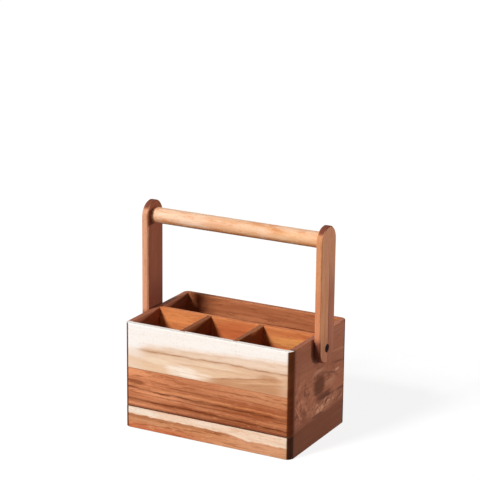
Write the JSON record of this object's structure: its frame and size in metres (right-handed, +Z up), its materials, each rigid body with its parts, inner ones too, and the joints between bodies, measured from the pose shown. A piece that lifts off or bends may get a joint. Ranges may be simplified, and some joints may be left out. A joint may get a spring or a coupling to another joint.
{
  "type": "utensil caddy with drawer",
  "caption": "Open wooden utensil box with upright dividers, a swinging dowel handle on flat side arms and a shallow pull-out drawer under its floor.",
  "frame": {"origin": "centre of the footprint, on the surface that the box stands on", "axes": "+X to the right seen from the front, +Y to the back, +Z up"},
  "size_m": [0.2484, 0.152, 0.274],
  "materials": {
    "pale_front_acacia": "oiled, pale sapwood with grey-brown streaks",
    "brown_front_acacia": "oiled, reddish brown with dark streaks",
    "back_acacia": "oiled, mid brown",
    "figured_side_acacia": "oiled, brown with swirling figure",
    "floor_acacia": "oiled, mid brown",
    "divider_acacia": "oiled, orange brown",
    "spline_wood": "plain, glued in",
    "drawer_box_wood": "lightly oiled",
    "drawer_front_acacia": "oiled, pale stripe over light brown",
    "upright_acacia": "oiled, brown",
    "grip_acacia": "oiled, pale orange",
    "dark_screw_steel": "black oxide",
    "washer_steel": "plain"
  },
  "bodies": {
    "box": {"front_top_board": "pale_front_acacia", "front_middle_board": "brown_front_acacia", "back_upper_board": "back_acacia", "back_lower_board": "back_acacia", "left_side_panel": "figured_side_acacia", "right_side_panel": "figured_side_acacia", "compartment_floor": "floor_acacia", "base_panel": "floor_acacia", "long_divider": "divider_acacia", "left_cross_divider": "divider_acacia", "right_cross_divider": "divider_acacia", "front_corner_splines": "spline_wood", "back_corner_splines": "spline_wood", "drawer_stop_strip": "drawer_box_wood", "left_pivot_screw": "dark_screw_steel", "right_pivot_screw": "dark_screw_steel", "left_pivot_washer": "washer_steel", "right_pivot_washer": "washer_steel"},
    "handle": {"left_upright": "upright_acacia", "right_upright": "upright_acacia", "grip_dowel": "grip_acacia"},
    "drawer": {"drawer_front": "drawer_front_acacia", "drawer_left_side": "drawer_box_wood", "drawer_right_side": "drawer_box_wood", "drawer_back": "drawer_box_wood", "drawer_bottom": "drawer_box_wood"}
  },
  "joints": [
    {"name": "handle_swing", "type": "hinge", "parent": "box", "child": "handle", "pos_m": [0, 0, 0.1215], "axis": [1, 0, 0], "range_deg": [-138, 125]},
    {"name": "drawer_slide", "type": "slide", "parent": "box", "child": "drawer", "axis": [0, -1, 0], "range_m": [0, 0.115]}
  ]
}
